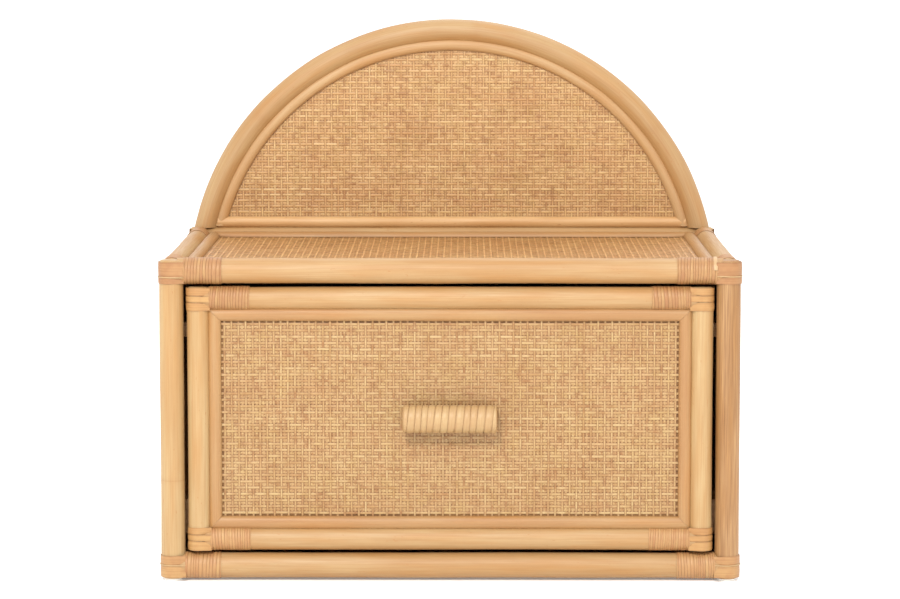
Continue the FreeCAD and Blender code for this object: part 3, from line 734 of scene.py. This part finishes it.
for level in LEVELS:
    broad, thin = [], []
    for end, sy in ENDS:
        for side, sx in SIDES:
            pair, line = post_cap(level, end, sy, side, sx)
            broad += pair
            thin.append(line)
    for label, made, material, nodes in (
        ("strips", broad, cap_mats[level], [f"{level}_corner_bindings"]), ("lines", thin, handle_peel, []),
    ):
        whole = join(made)
        wander(whole, "Z", 0.7 * MM, 14 * MM)
        wander(whole, "NORMAL", 0.12 * MM, 8 * MM)
        smooth(whole, 60)
        keep(whole, f"{level}_corner_{label}", "cabinet", "cane_peel", material, *nodes)


def pale_loop():
    """One pale strip bent over the top front pole, close beside the right post."""
    middle = centre("top_rail_front")
    width = 3.3 * MM
    place_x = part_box("post_front_right")[0].x - 1.6 * MM
    top = middle.z + span("top_rail_front", Z) / 2 + 1.9 * PEEL
    piece = section("y", 10, (width, 1, PEEL), (place_x, middle.y, top))
    with shaping(piece):
        bpy.ops.mesh.spin(steps=12, angle=-math.radians(82), center=middle, axis=X, dupli=False)
    outward(piece)
    mark(piece, "turn", [0.5 + TONE_DRIFT * (v.co.z - middle.z) for v in piece.data.vertices])
    mark_across(piece, X, place_x, width)
    smooth(piece, 60)
    keep(piece, "pale_corner_loop", "cabinet", "cane_peel", pale_peel)


pale_loop()


def drawer_cap(level, side, sx):
    """The strips round the outer side of a drawer's upright pole, from the front to the back."""
    low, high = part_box(f"drawer_stile_{side}")
    post = (low + high) / 2
    radius = (high.x - low.x) / 2
    rail = f"drawer_rail_{level}"
    foot = high.z - CAP_HEIGHT if level == "top" else low.z
    made = []
    for height in uneven(CAP_HEIGHT, (0.4, 0.27, 0.33), 0.92, 1.08):
        height_at = foot + height / 2
        foot += height
        start = Vector((post.x - sx * (radius + TUCK), centre(rail).y - face_depth(rail, height_at, 0.5),
                        height_at + dice.uniform(-0.7, 0.7) * MM))
        finish = Vector((post.x - sx * 4 * MM, post.y + radius - 0.3 * MM, height_at))
        piece = corner_strip(Vector((post.x, post.y, height_at)), radius, (sx, -1), 2, start, finish,
                             height - 0.15 * MM)
        mark_across(piece, Z, height_at, height)
        made.append(piece)
    return made


caps = join([piece for level in LEVELS for side, sx in SIDES for piece in drawer_cap(level, side, sx)])
wander(caps, "Z", 0.8 * MM, 11 * MM)
wander(caps, "NORMAL", 0.25 * MM, 6 * MM)
smooth(caps, 60)
keep(caps, "drawer_corner_strips", "drawer", "cane_peel", drawer_cap_mat, "drawer_corner_bindings")

for level in LEVELS:
    made = [winding(f"drawer_rail_{level}", f"drawer_stile_{side}", X * -sx, Y, DRAWER_WRAP, 1.5, (1.9, 2.6),
                    next(turn_numbers)) for side, sx in SIDES]
    keep(join(made), f"drawer_{level}_windings", "drawer", "cane_peel", peel_mats[level])


# ---------------------------------------------------------------- split-cane beads


def bead(length, width, mitred=True):
    """Half-round split cane along +X, flat on Z = 0. Its outer edge laps over Y = 0."""
    size = (1, width + BEAD_LAP, 2 * BEAD_HEIGHT)
    piece = section("x", 22, size, (0, (width - BEAD_LAP) / 2, 0))
    count = max(4, round(length / (24 * MM)))
    with shaping(piece):
        for _ in range(count):
            draw_by((length / count, 0, 0))
    outward(piece)
    wander(piece, "Y", 0.5 * MM, 50 * MM)
    wander(piece, "Z", 0.4 * MM, 40 * MM)
    cut_off(piece, (0, 0, 0), -Z)
    if mitred:
        gap = 0.1 * MM
        cut_off(piece, (gap, 0, 0), Y - X)
        cut_off(piece, (length - gap, 0, 0), X + Y)
    mark_rings(piece)
    return piece


def bead_frame(name, node, webbing, u, v, body):
    """Four mitred beads round a panel, over the edge of its webbing. u and v lie along the panel's edges."""
    n = u.cross(v)  # faces out of the panel
    size_u, size_v = span(node, u), span(node, v)
    extra_u = (size_u - span(webbing, u)) / 2
    extra_v = (size_v - span(webbing, v)) / 2
    seat = centre(webbing) + n * (span(webbing, n) / 2)
    middle = centre(node) + n * (seat - centre(node)).dot(n)
    by_axis = {"x": [], "y": [], "z": []}
    for run, across, length, depth, extra in (
        (u, v, size_u, size_v, extra_v), (-u, -v, size_u, size_v, extra_v),
        (-v, u, size_v, size_u, extra_u), (v, -u, size_v, size_u, extra_u),
    ):
        piece = bead(length, BEAD_WIDTH + extra)
        settle(piece, laid(middle - run * length / 2 - across * depth / 2, run, across))
        by_axis["xyz"[max(range(3), key=lambda k: abs(run[k]))]].append(piece)
    nodes = [node]
    for axis, pieces in by_axis.items():
        if pieces:
            whole = join(pieces)
            smooth(whole, 50)
            keep(whole, f"{name}_beads_{axis}", body, "cane_bead", bead_mats[axis], *nodes)
            nodes = []


# Each panel: its beads, its webbing, two axes along its edges and its body.
PANELS = {
    "drawer": ("drawer_beads", "drawer_webbing", X, Z, "drawer"),
    "top": ("top_beads", "top_webbing", X, Y, "cabinet"),
    "left": ("side_beads_left", "side_webbing_left", -Y, Z, "cabinet"),
    "right": ("side_beads_right", "side_webbing_right", Y, Z, "cabinet"),
    "back": ("back_beads", "back_webbing", -X, Z, "cabinet"),
}
for name, (beads, webbing, u, v, body) in PANELS.items():
    bead_frame(name, beads, webbing, u, v, body)


def arch_beads(end, facing, foot_material, bent_node, *foot_nodes):
    """The bent bead inside the arch and the straight one along its foot, on one face."""
    lo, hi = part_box(f"arch_webbing_{end}")
    face_y = lo.y if facing < 0 else hi.y
    width = BEAD_WIDTH + 1.2 * MM
    inner = ARCH_R - ARCH_RADIUS - BEAD_WIDTH
    foot = RAIL_TOP + 0.1 * MM
    bent = section("z", 22, (width, 2 * BEAD_HEIGHT, 1), (inner + width / 2, face_y, ARCH_Z))
    swept_arch(bent, 110)
    wander(bent, "Y", 0.4 * MM, 40 * MM)
    cut_off(bent, (0, face_y, 0), Y * -facing)
    cut_off(bent, (0, 0, foot), -Z)
    mark_rings(bent)
    smooth(bent, 50)
    straight = bead(2 * (inner + MM), FOOT_BEAD_WIDTH, mitred=False)
    run = X * -facing
    settle(straight, laid(Vector((0, face_y, foot)) - run * (inner + MM), run, Z))
    smooth(straight, 50)
    keep(bent, f"arch_{end}_bent_bead", "cabinet", "cane_bead", bead_mats["arch"], bent_node)
    keep(straight, f"arch_{end}_foot_bead", "cabinet", "cane_bead", foot_material, *foot_nodes)


arch_beads("front", -1, foot_bead_painted_light, "arch_inner_bead", "arch_base_bead")
arch_beads("back", 1, bead_mats["x"], "arch_back_beads")


# ---------------------------------------------------------------- handle


def handle():
    """A short pole with eased ends, wound from end to end with broad strips."""
    middle = centre("handle_bar")
    radius, length = pole_size("handle_bar", X)
    ease = 1.4 * MM
    core = drawn_out(radius, both_ends(((0, 0.86), (0.35 * ease, 0.95), (ease, 1.0)), length))
    outward(core)
    mark_rings(core)
    settle(core, upright(middle - X * length / 2, X))
    smooth(core, 50)
    keep(core, "handle_core", "drawer", "rattan_pole", pole_x, "handle_bar")

    wall = span("handle_binding", Z) / 2 - radius - 0.1 * MM
    margin = 0.7 * MM
    widths = uneven_widths(length - 2 * margin, 6.1 * MM, 0.25)
    wrap = peel_strip(radius + LOOSE, widths, first=900, thick=wall, hand=-1)
    wander(wrap, "Z", 1.0 * MM, 14 * MM, (3, 3, 1))
    wander(wrap, "NORMAL", 0.2 * MM, 6 * MM)
    settle(wrap, laid(middle - X * (length / 2 - margin), Y, Z))
    smooth(wrap, 60)
    keep(wrap, "handle_winding", "drawer", "cane_peel", handle_peel, "handle_binding")


handle()


# ---------------------------------------------------------------- boards and hidden parts


def board(name, node, material, ease=0.8 * MM):
    """A sawn board of the drawer's box with its edges eased."""
    lo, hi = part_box(node)
    start_clean()
    bpy.ops.mesh.primitive_cube_add(size=1, location=(lo + hi) / 2)
    piece = bpy.context.object
    piece.scale = hi - lo
    bpy.ops.object.transform_apply(location=True, scale=True)
    with shaping(piece):
        bpy.ops.mesh.bevel(offset=ease, offset_type="OFFSET", segments=2)
    smooth(piece, 40)
    keep(piece, name, "drawer", "drawer_wood", material, node)


# Plywood by the axis that it is thin along and the axis of its grain.
ply = {thin + along: plywood(f"plywood_thin_{thin}_grain_{along}", thin, along)
       for thin, along in ("zx", "xy", "xz", "yx")}
# painted shade: the board under the woven cane is darker than the other boards, so that the holes between
# the strands show as shadow
shaded_under_cane = plywood("dark_panel_plywood", "y", "x", "#9a6d3a", "#744b23")
beech = plywood("beech_strip", "x", "y", "#cfa173", "#a87648")

board("drawer_left_wall", "drawer_side_left", ply["xy"])
board("drawer_right_wall", "drawer_side_right", ply["xy"])
board("drawer_inner_front", "drawer_box_front", ply["yx"], 0.5 * MM)
board("drawer_rear_wall", "drawer_back", ply["yx"])

for material, nodes in (
    (ply["zx"], ("top_board", "base_board", "drawer_bottom")),
    (ply["xz"], ("side_board_left", "side_board_right")),
    (ply["yx"], ("back_board",)),
    (shaded_under_cane, ("arch_board", "drawer_front_board")),
    (beech, ("runner_left", "runner_right", "drawer_kickers", "drawer_stops", "arch_dowels")),
    (steel_mat, ("frame_screws", "runner_screws", "drawer_front_screws", "handle_screws")),
    (nylon_mat, ("glides",)),
):
    for node in nodes:
        CAD[node].data.materials.clear()
        CAD[node].data.materials.append(material)


# ---------------------------------------------------------------- woven cane


def strand(run, across, crossings, run_pitch, start, mesh, way, sides):
    """One flat strand along run. It rises and falls once for each strand that it crosses."""
    width, thick, height, lift = mesh
    size = (width if across is X else 1, width if across is Y else 1, thick)
    place = start + Z * (height + way * lift)
    piece = section("y" if run is Y else "x", sides, size, place, "NOTHING")
    with shaping(piece):
        for step in (-1, 1):
            draw_by(run * run_pitch + Z * (2 * lift * way * step))
    fit(piece, "ARRAY", count=crossings // 2, use_relative_offset=False, use_constant_offset=True,
        constant_offset_displace=run * 2 * run_pitch, use_merge_vertices=True, merge_threshold=0.02 * MM)
    with shaping(piece):
        bpy.ops.mesh.fill_holes(sides=0)
        bpy.ops.mesh.normals_make_consistent(inside=False)
    return piece


def strand_family(run, across, crossings, count, run_pitch, across_pitch, mesh, way, sides):
    """Parallel strands in panel axes. Every other one rises where its neighbours fall."""
    first = dice.randrange(1000)
    length = (crossings // 2) * 2 * run_pitch
    rim_shade = (UPRIGHT_RIM_SHADE if run is Y else LEVEL_RIM_SHADE) / mesh[0]
    middle = -(count - 1) / 2 * across_pitch
    halves = []
    for half in (0, 1):
        start = -run * length / 2 + across * (half - (count - 1) / 2) * across_pitch
        piece = strand(run, across, crossings, run_pitch, start, mesh, way * (1 - 2 * half), sides)
        per_strand = len(piece.data.vertices)
        fit(piece, "ARRAY", count=(count + 1 - half) // 2, use_relative_offset=False,
            use_constant_offset=True, constant_offset_displace=across * 2 * across_pitch)
        numbers = [2 * (k // per_strand) + half for k in range(len(piece.data.vertices))]
        mark(piece, "strand", [float(first + number) for number in numbers])
        mark(piece, "reach", [v.co.dot(run) for v in piece.data.vertices])
        # painted shade mask: grows from the middle of each strand out to its rims
        mark(piece, "edge_shade", [abs(v.co.dot(across) - middle - number * across_pitch) * rim_shade
                             for v, number in zip(piece.data.vertices, numbers)])
        halves.append(piece)
    return join(halves)


def even(number):
    return 2 * round(number / 2)


def woven_panel(name, node, u, v, body, canes=front_canes, sides=4, limit=None):
    """Two meshes of flat strands, one lying in the openings of the other, loosened and set on their board.
    Where beads cover the panel's edge, the outer mesh runs under them and the inner one stops at the last
    strand. What lies past a limit is cut away."""
    n = u.cross(v)
    place = laid(centre(node) - n * span(node, n) / 2, u, v)
    covered = 0 if limit else BEAD_WIDTH
    inset = 2 * (covered + OPEN_EDGE + OUTER_MESH[0] / 2)
    size_u, size_v = span(node, u) - inset, span(node, v) - inset
    count_u, count_v = even(size_u / MESH_ACROSS) + 1, even(size_v / MESH_UP) + 1
    pitch_u, pitch_v = size_u / (count_u - 1), size_v / (count_v - 1)
    nodes = [node]
    for label, mesh, material, less, beyond in (
        ("outer", OUTER_MESH, canes[0], 0, 1), ("inner", INNER_MESH, canes[1], 1, 2),
    ):
        for kind, run, across, n_run, n_across, run_pitch, across_pitch, way, loose, stretch in (
            ("uprights", Y, X, count_v, count_u, pitch_v, pitch_u, 1, "X", (1, 4, 1)),
            ("levels", X, Y, count_u, count_v, pitch_u, pitch_v, -1, "Y", (4, 1, 1)),
        ):
            piece = strand_family(run, across, n_run - less + beyond, n_across - less, run_pitch,
                                  across_pitch, mesh, way, sides)
            if less:
                reach = (n_run - 1) / 2 * run_pitch
                for end in (-1, 1):
                    cut_off(piece, run * reach * end, run * end)
            wander(piece, loose, 0.9 * MM, 8 * MM, stretch)
            settle(piece, place)
            if limit:
                with shaping(piece):
                    pick(piece, limit)
                    bpy.ops.mesh.delete(type="VERT")
                    bpy.ops.mesh.select_all(action="SELECT")
                    bpy.ops.mesh.fill_holes(sides=sides)
            smooth(piece, 75)
            keep(piece, f"{name}_{label}_{kind}", body, "woven_cane", material, *nodes)
            nodes = []


def outside_arch(point):
    """Near the middle of the arch's pole or past it, so that the strands end inside the pole."""
    near = 4 * MM
    return math.hypot(point.x, point.z - ARCH_Z) > ARCH_R - near


for name, (_, webbing, u, v, body) in PANELS.items():
    woven_panel(f"{name}_weave", webbing, u, v, body, top_canes_painted_light if name == "top" else front_canes,
                6 if name == "drawer" else 4)
woven_panel("arch_front_weave", "arch_webbing_front", X, Z, "cabinet", arch_canes_painted_light, 6, outside_arch)
woven_panel("arch_back_weave", "arch_webbing_back", -X, Z, "cabinet", arch_canes_painted_light, 4, outside_arch)


# ---------------------------------------------------------------- studio

SUBJECT = (0, 0, 0.2)  # what the lights point at
# Each light: its name, place, size and power.
LIGHTS = (
    ("key", (-0.5, -2.7, 2.1), 0.4, 66),
    ("fill", (2.2, -2.4, 1.2), 2.0, 4),
    ("back", (0.4, 1.6, 3.0), 1.6, 20),
)
CAMERA_PLACE = Vector((14.3, -3031.7, 552.9)) * MM
CAMERA_AIM = Vector((0, -156.7, 244.2)) * MM
LENS = 134.6  # focal length in millimetres


def hang(name, data, place, aim):
    """Puts a light or a camera in its place and points it."""
    made = bpy.data.objects.new(name, data)
    bpy.context.scene.collection.objects.link(made)
    made.location = place
    made.rotation_euler = (Vector(aim) - Vector(place)).to_track_quat("-Z", "Y").to_euler()
    return made


def studio():
    """White paper floor, a bright white room, a small key light, a wide fill and a light from behind."""
    start_clean()
    bpy.ops.mesh.primitive_plane_add(size=30, location=(0, 0, 0))
    floor = bpy.context.object
    floor.name = "studio_floor"
    bpy.ops.object.transform_apply(location=True, scale=True)
    floor.data.materials.append(studio_paper("white_paper"))

    world = bpy.data.worlds.new("white_room")
    bpy.context.scene.world = world
    world.use_nodes = True
    room = world.node_tree.nodes["Background"].inputs
    room["Color"].default_value = linear("#ffffff")
    room["Strength"].default_value = 1.42

    for name, place, size, power in LIGHTS:
        light = bpy.data.lights.new(name, "AREA")
        light.energy = power
        light.size = size
        hang(name, light, place, SUBJECT)


def camera():
    """Straight in front, a little above the top, with a long lens."""
    data = bpy.data.cameras.new("front_camera")
    data.lens = LENS
    data.sensor_width = 36  # millimetres
    data.clip_end = 60  # metres
    bpy.context.scene.camera = hang("front_camera", data, CAMERA_PLACE, CAMERA_AIM)


studio()
camera()
bpy.context.scene.view_settings.view_transform = "Standard"

start_clean()
